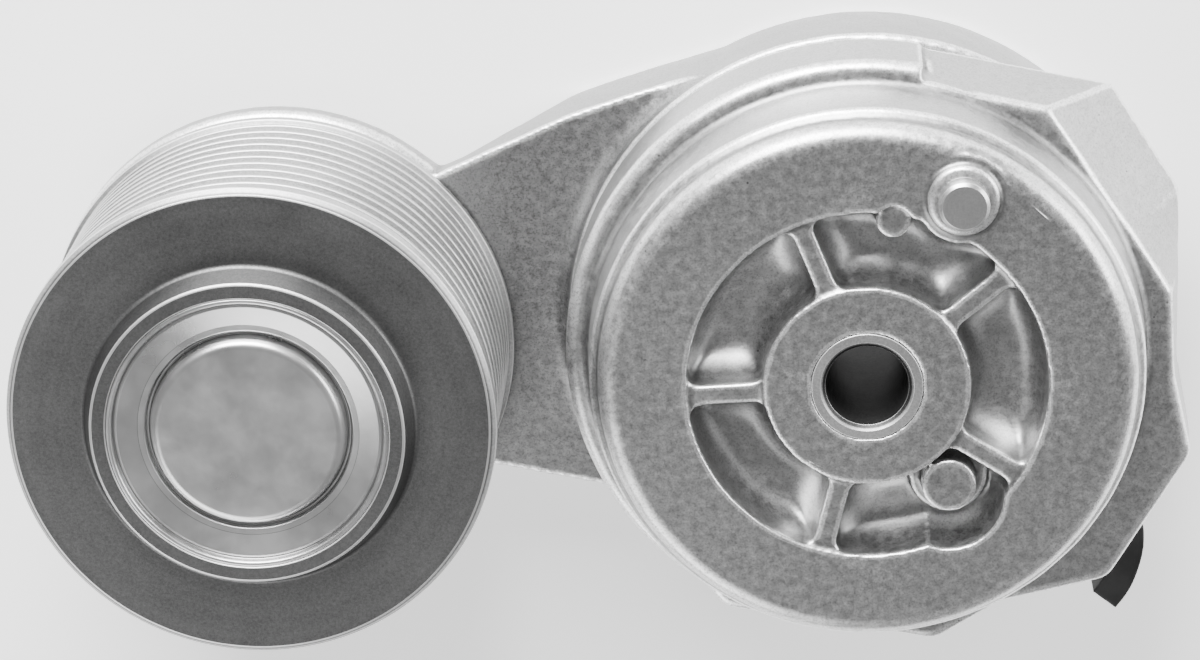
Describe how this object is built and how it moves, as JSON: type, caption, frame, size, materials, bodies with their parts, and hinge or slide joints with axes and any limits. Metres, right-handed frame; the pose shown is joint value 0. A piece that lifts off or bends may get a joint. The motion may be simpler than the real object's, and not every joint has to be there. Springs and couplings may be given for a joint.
{
  "type": "belt tensioner",
  "caption": "Automatic belt tensioner: a pocketed drum base with a central bolt bore, a sprung swinging arm and a ribbed idler pulley on a sealed ball bearing.",
  "frame": {"origin": "on the pivot axis at the mounting face, where the bore opens", "axes": "+Z along the pivot bore, out of the mounting face; the arm lies along -X at rest; +Y towards the locating pin's side"},
  "size_m": [0.1867, 0.0999, 0.0603],
  "materials": {
    "cast_aluminium": "as-cast, tumbled, satin",
    "turned_steel": "turned and ground",
    "plated_steel": "zinc plated",
    "black_rubber": "matt moulded rubber",
    "spring_steel": "oil-hardened, dark",
    "nylon": "glass-filled, moulded",
    "bearing_steel": "ground and polished",
    "cage_steel": "pressed",
    "dark_steel": "dark phosphate coating over turned steel",
    "pressed_steel": "pressed and plated, satin"
  },
  "bodies": {
    "base": {"base_housing": "cast_aluminium", "pivot_tube": "turned_steel", "locating_pin": "turned_steel", "stop_bumper": "black_rubber", "torsion_spring": "spring_steel", "damping_ring": "nylon", "dust_seal": "black_rubber", "thrust_washer": "nylon", "end_plate": "plated_steel", "front_spring_seat": "nylon"},
    "arm": {"tensioner_arm": "cast_aluminium", "front_bushing": "nylon", "back_bushing": "nylon", "spring_sleeve": "nylon", "back_spring_seat": "nylon", "pulley_bolt": "plated_steel", "bolt_washer": "plated_steel", "bearing_sleeve": "turned_steel", "bearing_inner_race": "bearing_steel", "dust_shield": "plated_steel"},
    "pulley": {"pulley_body": "dark_steel", "bearing_outer_race": "bearing_steel", "front_bearing_seal": "black_rubber", "back_bearing_seal": "black_rubber", "snap_ring": "spring_steel", "dust_cap": "pressed_steel"},
    "front_ball_row": {"front_cage": "cage_steel", "front_balls": "bearing_steel"},
    "back_ball_row": {"back_cage": "cage_steel", "back_balls": "bearing_steel"}
  },
  "joints": [
    {"name": "arm_swing", "type": "hinge", "parent": "base", "child": "arm", "pos_m": [0, 0, 0], "axis": [0, 0, 1], "range_deg": [0, 60], "stiffness_Nm_per_rad": 30, "springref_deg": -8.59, "deforming": ["torsion_spring"]},
    {"name": "pulley_spin", "type": "hinge", "parent": "arm", "child": "pulley", "pos_m": [-0.096, 0, 0], "axis": [0, 0, 1], "continuous": true},
    {"name": "front_row_spin", "type": "hinge", "parent": "arm", "child": "front_ball_row", "pos_m": [-0.096, 0, 0], "axis": [0, 0, 1], "continuous": true},
    {"name": "back_row_spin", "type": "hinge", "parent": "arm", "child": "back_ball_row", "pos_m": [-0.096, 0, 0], "axis": [0, 0, 1], "continuous": true}
  ],
  "couplings": [
    {"joint": "front_row_spin", "follows": "pulley_spin", "ratio": 0.60175},
    {"joint": "back_row_spin", "follows": "pulley_spin", "ratio": 0.60175}
  ]
}
